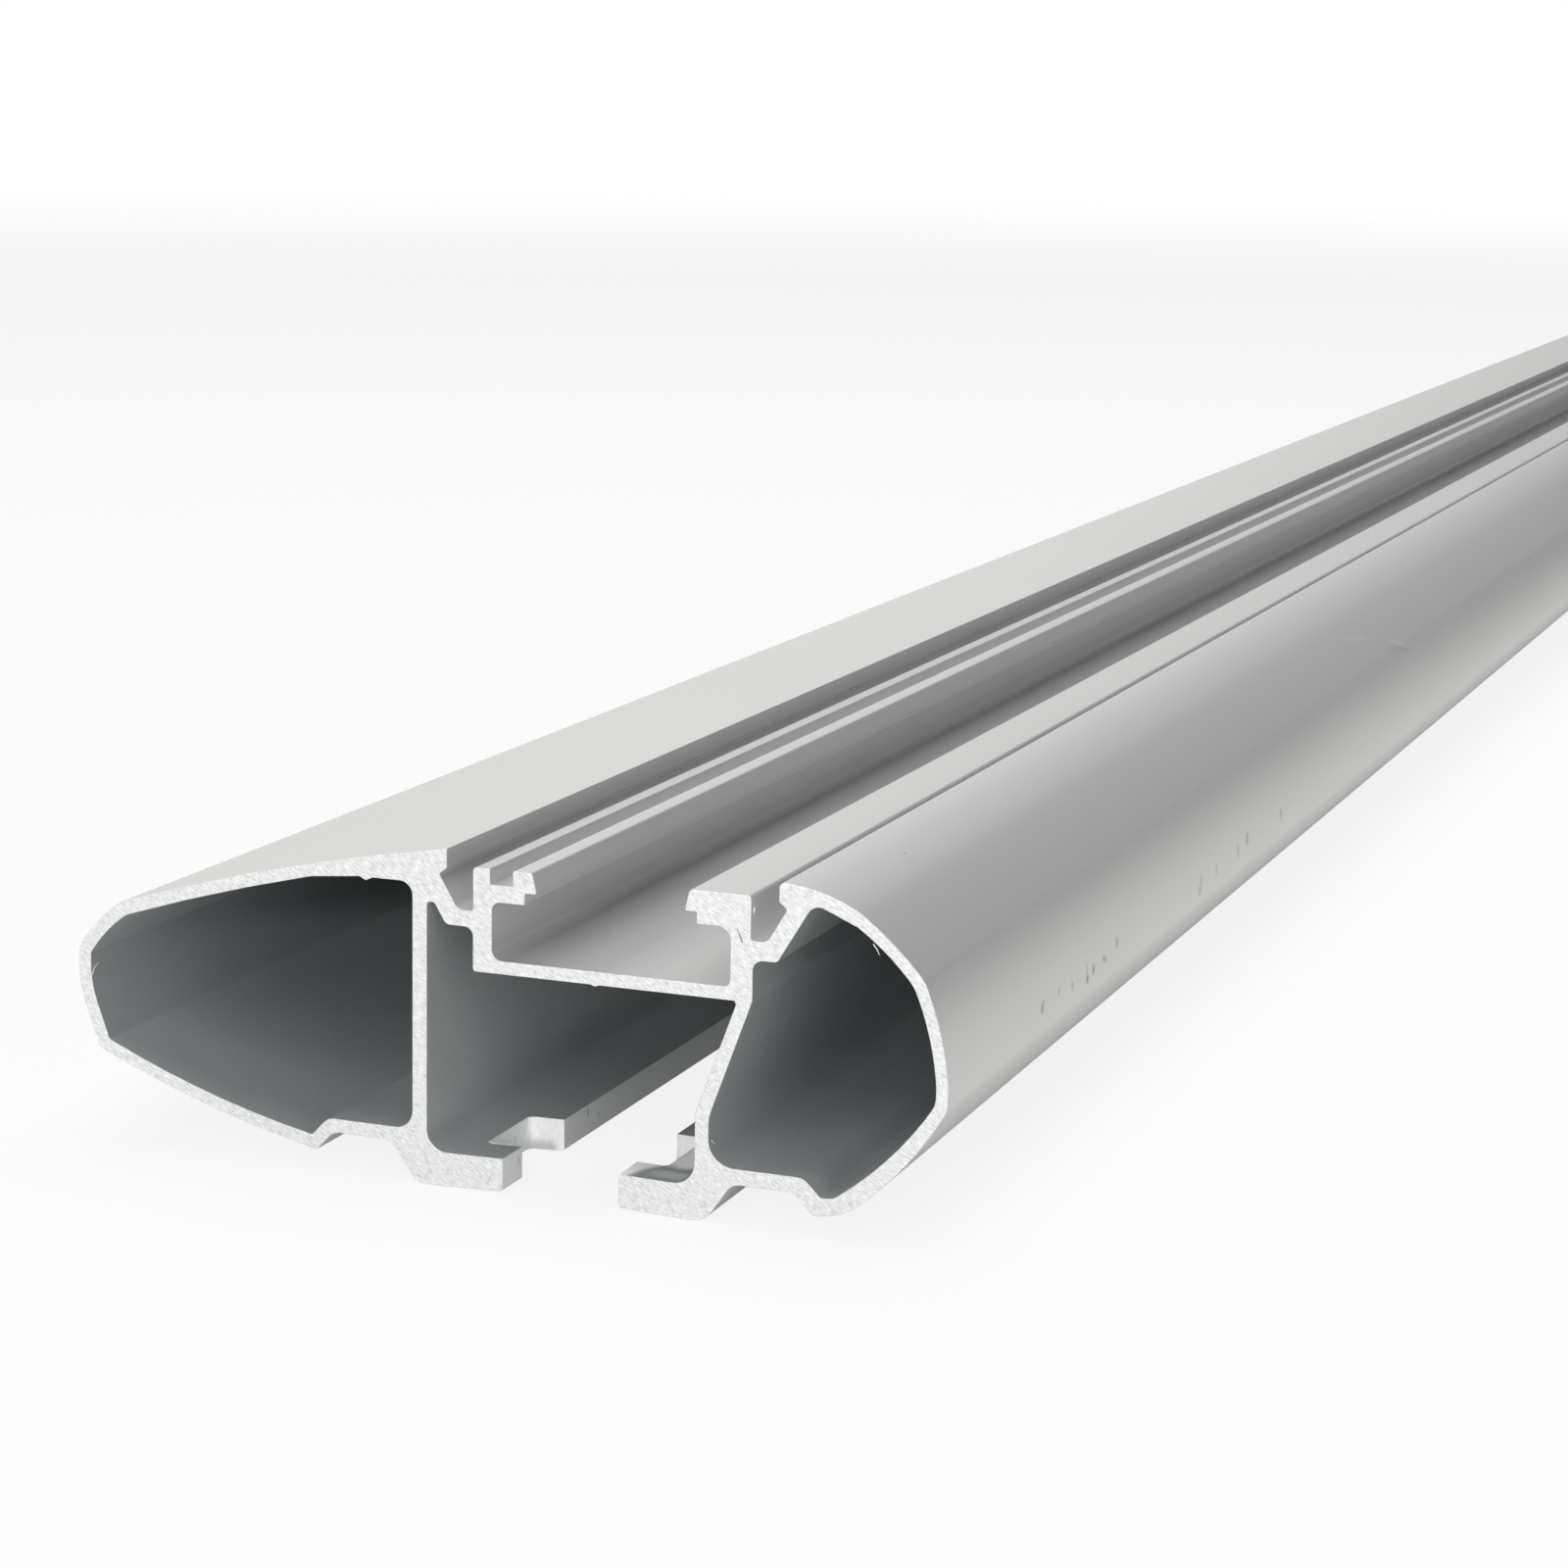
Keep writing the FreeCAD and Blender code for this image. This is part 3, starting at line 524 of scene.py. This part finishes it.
# Small marks, each as its start and end (x, y, z), its width and its strength
TAIL_FLECKS = [
    ((39.92, -563.13, 14.68), (39.97, -563.58, 14.15), 0.55, 0.43),
    ((39.97, -563.55, 14.26), (39.98, -563.67, 14.11), 0.63, 0.73),
    ((39.91, -558.2, 14.78), (39.96, -558.58, 14.31), 0.34, 0.48),
    ((39.97, -554.22, 14.23), (39.98, -554.25, 14.1), 0.63, 0.43),
    ((39.89, -549.31, 14.86), (39.97, -549.55, 14.27), 0.57, 0.26),
    ((40, -549.39, 13.72), (40, -549.38, 13.6), 0.67, 0.85),
    ((39.95, -547.38, 14.4), (39.98, -547.4, 13.97), 0.5, 0.52),
    ((39.98, -547.4, 14.12), (39.99, -547.43, 13.99), 0.63, 0.85),
    ((39.96, -544.08, 14.32), (39.98, -543.2, 14.11), 0.53, 0.48),
    ((39.89, -539.2, 14.94), (39.93, -539.45, 14.59), 0.63, 0.52),
    ((39.93, -507.44, 14.41), (39.98, -508.05, 13.57), 0.84, 0.26),
    ((40, -508.18, 13.53), (40, -508.22, 13.32), 0.84, 0.43),
    ((39.98, -501.23, 14.13), (39.99, -501.35, 13.84), 0.95, 0.21),
    ((39.88, -487.67, 15.02), (39.93, -487.84, 14.65), 0.95, 0.52),
    ((39.92, -491.91, 14.58), (39.98, -492.02, 14.02), 0.95, 0.29),
    ((39.92, -472.04, 14.67), (39.94, -472.13, 14.55), 0.95, 0.43),
    ((29.67, -571.5, 28.64), (29.75, -571.74, 28.61), 0.15, 0.65),
]
TAIL_SCUFF = [
    ((34.63, -415.39, 25.65), (35.31, -407.91, 25.03), 0.7, 0.25),
    ((35.31, -407.91, 25.03), (36.26, -401.3, 24.13), 0.5, 0.15),
    ((36.78, -399.39, 23.58), (37.77, -394.48, 22.46), 0.7, 0.4),
]
SCUFF_SHADE = [
    ((37.35, -401.44, 22.96), (38.16, -393.65, 21.6), 0.5, 0.1),
]
CHAMBER_SPECKS = [
    ((-22.81, -586.18, 4.34), (-22.75, -586.3, 4.33), 0.12, 1),
    ((-6.3, -589.49, 13.71), (-6.3, -589.49, 13.66), 0.12, 0.8),
    ((-6.3, -587.77, 6.25), (-6.3, -587.77, 6.16), 0.14, 0.9),
    ((-6.3, -587.67, 5.96), (-6.3, -587.67, 5.92), 0.1, 0.8),
    ((-0.98, -573.88, 3.08), (-0.9, -574.06, 3.08), 0.14, 0.8),
    ((-1, -587.06, 3.08), (-0.88, -587.33, 3.08), 0.15, 1),
    ((20.58, -588.31, 5.16), (20.61, -588.4, 5.14), 0.12, 0.6),
    ((28.31, -588.14, 4.35), (28.34, -588.22, 4.33), 0.14, 0.8),
    ((28.21, -585.11, 4.45), (28.24, -585.17, 4.43), 0.1, 0.6),
]
# Patches on the rear flange's top at the near tab and beside the notch: partly filed bare metal, partly
# painted reflection, painted near white, with their normals leaning towards the cut
FILED_AND_SHEEN_PATCHES = [
    ((11.1, -590.2, 3.1), (12.2, -585.5, 3.1), 2.1, 1),
    ((11.7, -587.5, 3.1), (12.8, -585.5, 3.1), 2.2, 1),
    ((15.4, -584.5, 3.1), (15.4, -578.5, 3.1), 3.2, 0.9),
    ((14.5, -588, 3.1), (16, -588, 3.1), 2, 0.35),
]
SLOT_SPECKS = [
    ((13.15, -587.06, 20.25), (13.23, -587.25, 20.25), 0.12, 0.8),
    ((13.6, -585.37, 20.25), (13.68, -585.56, 20.25), 0.12, 0.8),
]
FACE_CRACKS = [
    ((21.68, -590, 25.19), (21.87, -590, 24.74), 0.12, 0.7),
    ((21.87, -590, 24.74), (22.1, -590, 24.14), 0.15, 0.9),
    ((-0.83, -590, 26.91), (-0.07, -590, 25.73), 0.1, 0.25),
    ((-0.07, -590, 25.67), (-0.83, -590, 25.17), 0.1, 0.15),
    ((-1.73, -590, 26.27), (-0.83, -590, 25.17), 0.1, 0.15),
    ((-0.17, -590, 1.69), (-0.58, -590, 0.82), 0.12, 0.3),
]
NOTCH_SPECKS = [
    ((-2.55, -582.76, 2.3), (-2.55, -582.76, 2.26), 0.14, 0.8),
    ((-2.55, -581.98, 2.04), (-2.55, -581.98, 2.01), 0.14, 0.8),
    ((-2.55, -581.21, 1.87), (-2.55, -581.21, 1.85), 0.13, 0.8),
    ((-2.55, -580.23, 1.65), (-2.55, -580.23, 1.51), 0.14, 0.8),
    ((-2.55, -580.23, 2.05), (-2.55, -580.23, 1.92), 0.17, 0.6),
    ((0.8, -572, 2.71), (0.8, -571.99, 2.25), 0.35, 0.45),
    ((0.8, -569.61, 1.76), (0.8, -569.6, 1.39), 0.25, 0.4),
    ((0.8, -586.78, 2.38), (0.8, -586.67, 1.91), 0.2, 0.5),
]
# Painted highlights in the notch: lit stripes on the far wall at both ends of the tab's shadow, and a bright
# line along the near tip's lower edge
NOTCH_PAINTED_HIGHLIGHTS = [
    ((-2.23, -577.2, 1.2), (-2.2, -577.2, 0.15), 0.2, 0.6),
    ((0.35, -577.15, 1.6), (0.35, -577.15, 0.6), 0.2, 0.6),
    ((0.8, -589.69, 0.83), (0.8, -586.4, 0.62), 0.12, 0.7),
]

# Slivers of metal: how thick they are at the root, the share of it left at the tip, and the points along each
BURR_THICKNESS, BURR_TIP = 0.055, 0.45
BURRS = [
    [(-38.76, -589.83, 14.87), (-38.77, -589.67, 15.23),
     (-38.76, -589.39, 15.51), (-38.7, -588.85, 15.78)],
    [(19.42, -589.31, 6.87), (19.56, -588.82, 6.45)],
    [(22.85, -589.2, 26.93), (22.85, -589.42, 26.44)],
    [(33.36, -589.95, 25.12), (33.7, -589.93, 24.65), (33.9, -589.9, 24.23)],
    [(-1.8, -586, 3.08), (-2.15, -585.98, 3.16), (-2.5, -585.95, 3.15)],
    [(-1.7, -586, 3.06), (-1.35, -585.98, 3.13)],
    [(-1.15, -586, 3.06), (-0.95, -585.98, 3.12)],
    [(-0.7, -586, 3.06), (-0.25, -585.98, 3.13)],
]


def anodised_skin():
    """Satin anodised skin with faint lines of the die along the bar."""
    shader = Shader("anodised_skin", Metallic=0.6)
    die_lines = shader.noise(shader.stretched((1, 400, 1)), 1100, 3)
    grain = shader.noise(shader.place, 6000, 2)
    clouds = shader.noise(shader.place, 30, 3)
    tone = shader.blend(shader.span(die_lines, 0.3, 0.7, 0.0, 1.0), (0.68, 0.684, 0.68), (0.70, 0.704, 0.70))
    tone = shader.blend(shader.span(clouds, 0.3, 0.7, 0.0, 0.5), tone, (0.67, 0.674, 0.672))
    tone = shader.blend(shader.marks(TAIL_SCUFF + SLOT_SPECKS), tone, (0.9, 0.9, 0.89))
    shader.set("Base Color", shader.blend(shader.marks(TAIL_FLECKS + SCUFF_SHADE), tone, (0.16, 0.16, 0.15)))
    shader.set("Roughness", shader.span(die_lines, 0.3, 0.7, 0.34, 0.37))
    shader.set("Normal", shader.bump(grain, 0.06, 0.00001))
    return shader.material


def shaded_chamber_wall():
    """The skin inside the chambers and the foot channel: the same metal, a little duller, with painted shade
    making its colour darker and bluer than outside.
    """
    shader = Shader("shaded_chamber_wall", Metallic=0.5)
    die_lines = shader.noise(shader.stretched((1, 180, 1)), 900, 4)
    grain = shader.noise(shader.place, 2600, 2)
    # Painted shade: this colour is darker and bluer than the outside skin's, though the metal is the same
    tone = shader.blend(die_lines, (0.56, 0.59, 0.595), (0.61, 0.638, 0.642))
    tone = shader.blend(shader.span(grain, 0.3, 0.7, 0.0, 0.4), tone, (0.54, 0.57, 0.575))
    # Filed bare metal with painted reflection: lighter, and leaning towards the cut
    filed_and_sheen = shader.marks(FILED_AND_SHEEN_PATCHES)
    bright = shader.math("MAXIMUM", shader.marks(CHAMBER_SPECKS), filed_and_sheen)
    shader.set("Base Color", shader.blend(bright, tone, (1, 1, 1)))
    shader.set("Roughness", shader.span(grain, 0.3, 0.7, 0.42, 0.5))
    slope = shader.node("ShaderNodeVectorMath", {0: (0, -0.65, 0), "Scale": filed_and_sheen}, operation="SCALE")[0]
    tilted = shader.vectors("ADD", shader.node("ShaderNodeNewGeometry")["Normal"], slope)[0]
    tilted = shader.vectors("NORMALIZE", tilted)[0]
    shader.set("Normal", shader.bump(die_lines, 0.15, 0.00002, tilted))
    return shader.material


def sawn_face():
    """Bright bare metal with the short, slanting marks of the saw."""
    shader = Shader("sawn_face", Metallic=0.3, Roughness=0.5)
    slant = (0, math.radians(31), 0)
    marks = shader.noise(shader.stretched((6, 1, 1), slant), 9000, 3, 0.65)
    mottle = shader.noise(shader.stretched((1.8, 1, 1), slant), 1500, 3, 0.6)
    tone = shader.blend(shader.span(marks, 0.38, 0.64, 0.0, 1.0), (0.58, 0.595, 0.6), (0.97, 0.97, 0.97))
    tone = shader.blend(shader.span(mottle, 0.38, 0.66, 0.0, 0.3), tone, (0.93, 0.936, 0.936))
    shader.set("Base Color", shader.blend(shader.marks(FACE_CRACKS), tone, (0.2, 0.22, 0.23)))
    shader.set("Normal", shader.bump(marks, 0.45, 0.00004))
    return shader.material


def milled_notch():
    """Bare metal left by the milling cutter and on the flange tips, streaked and specked, with painted
    highlights beside the tab's shadow and along the near tip's lower edge.
    """
    shader = Shader("milled_notch", Metallic=0.0, Roughness=0.45)
    streaks = shader.noise(shader.stretched((1, 1, 2.5)), 2600, 4, 0.6)
    mottle = shader.noise(shader.place, 1500, 3)
    tone = shader.blend(shader.span(streaks, 0.35, 0.66, 0.0, 1.0), (0.88, 0.89, 0.892), (1.0, 1.0, 1.0))
    tone = shader.blend(shader.span(mottle, 0.42, 0.7, 0.0, 0.6), tone, (0.92, 0.925, 0.925))
    # Painted highlights
    tone = shader.blend(shader.marks(NOTCH_PAINTED_HIGHLIGHTS), tone, (1, 1, 1))
    shader.set("Base Color", shader.blend(shader.marks(NOTCH_SPECKS), tone, (0.2, 0.2, 0.2)))
    shader.set("Normal", shader.bump(streaks, 0.5, 0.00006))
    return shader.material


def burr_metal():
    """Bright curls of bare metal that the saw and the cutter left on edges."""
    shader = Shader("burr_metal", Metallic=0.1, Roughness=0.35)
    glints = shader.noise(shader.place, 9000, 2)
    shader.set("Base Color", shader.blend(glints, (0.86, 0.865, 0.865), (1, 1, 1)))
    shader.set("Normal", shader.bump(glints, 0.3, 0.00002))
    return shader.material


# Bar


def make_bar(materials):
    """The bar as one closed mesh: the pushed-out section with both notches milled out."""
    chambers = [outline(front_chamber()), outline(rear_chamber())]
    loops = [(True, outline(OUTSIDE))] + [(False, chamber) for chamber in chambers]
    bar_mesh = extrusion_tree().made("extrusion", section_mesh(loops), {
        "Length": LENGTH * MM, "Edge break": EDGE_BREAK * MM, "Material": materials["skin"]})
    cut_mesh = notch_tree().made("notches", bpy.data.meshes.new("blank"), {
        "Length": LENGTH * MM, "Offset": NOTCH_OFFSET * MM, "Notch length": NOTCH_LENGTH * MM,
        "Front": NOTCH_FRONT * MM, "Rear": NOTCH_REAR * MM, "Height": NOTCH_HEIGHT * MM,
        "Corner": NOTCH_ROUND * MM, "Material": materials["notch"]})
    blank = bpy.data.objects.new("blank_bar", bar_mesh)
    cutter = bpy.data.objects.new("notch_cutter", cut_mesh)
    for item in (blank, cutter):
        bpy.context.scene.collection.objects.link(item)
    milling = blank.modifiers.new("milling", "BOOLEAN")
    milling.operation, milling.solver, milling.object = "DIFFERENCE", "EXACT", cutter
    milling.material_mode = "TRANSFER"
    evaluated = blank.evaluated_get(bpy.context.evaluated_depsgraph_get())
    mesh = bpy.data.meshes.new_from_object(evaluated)
    for item in (blank, cutter):
        bpy.data.objects.remove(item)
    paint_faces(mesh, materials, chambers)
    mesh.name = "crossbar"
    bar = bpy.data.objects.new("crossbar", mesh)
    bpy.context.scene.collection.objects.link(bar)
    return bar


def make_burrs(material):
    """Slivers at the rims of the near cut and along the notch beside it."""
    points = [Vector(point) * MM for sliver in BURRS for point in sliver]
    edges, first = [], 0
    for sliver in BURRS:
        edges += [(first + n, first + n + 1) for n in range(len(sliver) - 1)]
        first += len(sliver)
    lines = bpy.data.meshes.new("burr_lines")
    lines.from_pydata(points, edges, [])
    mesh = burr_tree().made("burrs", lines, {
        "Thickness": BURR_THICKNESS * MM, "Tip": BURR_TIP, "Material": material})
    for face in mesh.polygons:
        face.use_smooth = True
    burrs = bpy.data.objects.new("edge_burrs", mesh)
    bpy.context.scene.collection.objects.link(burrs)
    return burrs


def distance_to(loop, x, z):
    """How far a point of the section lies from a loop, in millimetres."""
    point = Vector((x, z))
    nearest = math.inf
    for start, end in zip(loop, loop[1:] + loop[:1]):
        along = end - start
        share = max(0, min(1, (point - start).dot(along) / max(along.length_squared, 1e-12)))
        nearest = min(nearest, (point - start - along * share).length)
    return nearest


def paint_faces(mesh, materials, chambers):
    """Gives each face its finish, and keeps only the true edges sharp."""
    near = 0.02
    notch_index = [slot and slot.name for slot in mesh.materials].index(materials["notch"].name)
    milled = [face.material_index == notch_index for face in mesh.polygons]
    mesh.materials.clear()
    order = ("skin", "inside", "sawn", "notch")
    for name in order:
        mesh.materials.append(materials[name])
    end = (LENGTH / 2 - EDGE_BREAK * 1.01) * MM
    tips = FRONT_FOOT[3][0], REAR_FOOT[3][0]
    for face, is_milled in zip(mesh.polygons, milled):
        x, y, z = face.center
        x, z = x / MM, z / MM
        if is_milled or z < FLANGE_TOP and min(abs(x - tip) for tip in tips) < near:
            finish = "notch"
        elif abs(y) > end:
            finish = "sawn"
        elif min(distance_to(chamber, x, z) for chamber in chambers) < near or in_channel(x, z):
            finish = "inside"
        else:
            finish = "skin"
        face.material_index = order.index(finish)
        face.use_smooth = True
    mesh.set_sharp_from_angle(angle=SHARP_ANGLE)


def in_channel(x, z):
    """Whether a point of the outline belongs to the foot channel or to the pocket beside the web."""
    if not (WEB_FACE - 0.05 < x < CHANNEL_REAR + CHANNEL_FLARE + 0.05 and 2 < z < POCKET_TOP + 0.1):
        return False
    if z < CHANNEL_CEILING + 0.02:
        return True
    pocket = [Vector(corner[:2]) for corner in CHANNEL[5:]]
    return x < -2 and distance_to(pocket, x, z) < 0.3


# Studio

FLOOR_HALF = 6
CUT_END = (0.0, -0.59, 0.0)
# Soft lamps, each with its place, aim, size, power in watts and whether the metal mirrors it
LAMPS = [
    ("overhead_softbox", (0.0, -0.3, 1.1), (0.0, -0.3, 0.0), 1.0, 8.5, True),
    ("front_softbox", (0.1, -1.65, 0.95), CUT_END, 0.9, 5.3, True),
    ("key_softbox", (0.13, -1.98, 0.33), CUT_END, 0.1, 7, True),
    ("side_softbox", (1.1, -1.4, 0.3), (0.0, -0.57, 0.0), 0.9, 4.8, False),
]
CAMERA_PLACE = (0.125632, -0.859751, 0.093898)
CAMERA_RIGHT, CAMERA_UP = (0.935971, 0.351554, 0.019164), (-0.085232, 0.173433, 0.981151)
CAMERA_BACK = (0.341604, -0.919962, 0.192292)
SENSOR_WIDTH, LENS = 36, 83.9


class Stage(Nodes):
    """The node tree of the floor or of the room round it."""

    def __init__(self, owner):
        owner.use_nodes = True
        super().__init__(owner.node_tree)
        self.nodes.clear()

    def backdrop_rays(self):
        """Whether the camera looks, and whether a reflection or clear plastic does."""
        path = self.node("ShaderNodeLightPath")
        return path["Is Camera Ray"], self.math("MAXIMUM", path["Is Glossy Ray"], path["Is Transmission Ray"])


def floor_material():
    """A pale floor that looks white, wholly so away from the bar, and keeps a soft shadow."""
    material = bpy.data.materials.new("pale_floor")
    stage = Stage(material)
    camera, mirrored = stage.backdrop_rays()
    place = stage.node("ShaderNodeTexCoord")["Object"]
    away = stage.node("ShaderNodeVectorMath", {0: place}, operation="LENGTH")["Value"]
    white = stage.node("ShaderNodeMapRange", {"Value": away, "From Min": 0.7, "From Max": 2.0, "To Min": 0.86,
                                              "To Max": 1.0}, interpolation_type="SMOOTHSTEP")[0]
    share = stage.math("ADD", stage.math("MULTIPLY", camera, white), stage.math("MULTIPLY", mirrored, 0.15))
    painted = stage.node("ShaderNodeBsdfDiffuse", {"Color": (0.84, 0.84, 0.82, 1)})[0]
    glow = stage.node("ShaderNodeEmission", {"Strength": 1.0})[0]
    mixed = stage.node("ShaderNodeMixShader", {0: share, 1: painted, 2: glow})[0]
    stage.node("ShaderNodeOutputMaterial", {"Surface": mixed})
    return material


def make_room():
    """White surroundings, which dim softly in reflections overhead and towards the tail's side."""
    world = bpy.data.worlds.new("studio")
    bpy.context.scene.world = world
    stage = Stage(world)
    way = stage.node("ShaderNodeTexCoord")["Generated"]
    across, _, up = stage.node("ShaderNodeSeparateXYZ", {0: way})
    turned_away = stage.math("ADD", stage.math("MULTIPLY", up, 1.3), stage.math("MULTIPLY", across, 2.4))
    brightness = stage.node("ShaderNodeMapRange", {"Value": turned_away, "From Min": -0.8, "From Max": 1.15,
                                                   "To Min": 1.0, "To Max": 0.13})[0]
    camera, mirrored = stage.backdrop_rays()
    tint = stage.node("ShaderNodeMapRange", {"Value": brightness, "From Min": 0.5, "From Max": 1.0,
                                             "To Min": 1.0, "To Max": 0.955})[0]
    blue = stage.math("MULTIPLY", brightness, tint)
    mirrored_room = stage.node("ShaderNodeCombineColor", {0: brightness, 1: brightness, 2: blue})[0]
    backdrop = stage.node("ShaderNodeBackground", {"Strength": 1.0, "Color": stage.node(
        "ShaderNodeVectorMath", {0: mirrored_room, 1: camera}, operation="MAXIMUM")[0]})[0]
    fill = stage.node("ShaderNodeBackground", {"Color": (1, 1, 1, 1), "Strength": 0.12})[0]
    seen = stage.math("MAXIMUM", camera, mirrored)
    mixed = stage.node("ShaderNodeMixShader", {0: seen, 1: fill, 2: backdrop})[0]
    stage.node("ShaderNodeOutputWorld", {"Surface": mixed})


def make_studio():
    mesh = bpy.data.meshes.new("floor")
    corners = [(x * FLOOR_HALF, y * FLOOR_HALF, 0) for x, y in ((-1, -1), (1, -1), (1, 1), (-1, 1))]
    mesh.from_pydata(corners, [], [(0, 1, 2, 3)])
    mesh.materials.append(floor_material())
    floor = bpy.data.objects.new("floor", mesh)
    bpy.context.scene.collection.objects.link(floor)
    make_room()
    for lamp in LAMPS:
        add_softbox(*lamp)


def add_softbox(name, place, aim, size, watts, mirrored):
    light = bpy.data.lights.new(name, "AREA")
    light.shape, light.size, light.energy = "SQUARE", size, watts
    lamp = bpy.data.objects.new(name, light)
    lamp.location = place
    lamp.visible_glossy = mirrored
    lamp.rotation_euler = (Vector(aim) - Vector(place)).to_track_quat("-Z", "Y").to_euler()
    bpy.context.scene.collection.objects.link(lamp)


def make_camera():
    """The photograph's view: low over the near end, from in front of the tail."""
    data = bpy.data.cameras.new("camera")
    data.sensor_width, data.lens = SENSOR_WIDTH, LENS
    data.clip_start = 0.01
    camera = bpy.data.objects.new("camera", data)
    turn = Matrix((CAMERA_RIGHT, CAMERA_UP, CAMERA_BACK)).transposed().to_4x4()
    camera.matrix_world = Matrix.Translation(CAMERA_PLACE) @ turn
    bpy.context.scene.collection.objects.link(camera)
    bpy.context.scene.camera = camera


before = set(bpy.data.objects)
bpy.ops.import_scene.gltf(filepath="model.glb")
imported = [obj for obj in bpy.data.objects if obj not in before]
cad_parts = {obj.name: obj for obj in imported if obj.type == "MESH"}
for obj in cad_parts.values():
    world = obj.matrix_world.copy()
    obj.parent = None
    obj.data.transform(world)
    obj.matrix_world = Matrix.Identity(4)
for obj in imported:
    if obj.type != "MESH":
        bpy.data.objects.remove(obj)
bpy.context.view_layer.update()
mark_group()
finishes = {"skin": anodised_skin(), "inside": shaded_chamber_wall(), "sawn": sawn_face(), "notch": milled_notch()}
crossbar = make_bar(finishes)
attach(crossbar, "root")
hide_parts("crossbar_profile")
edge_burrs = make_burrs(burr_metal())
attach(edge_burrs, "root")
make_studio()
make_camera()
bpy.context.scene.view_settings.view_transform = "Standard"
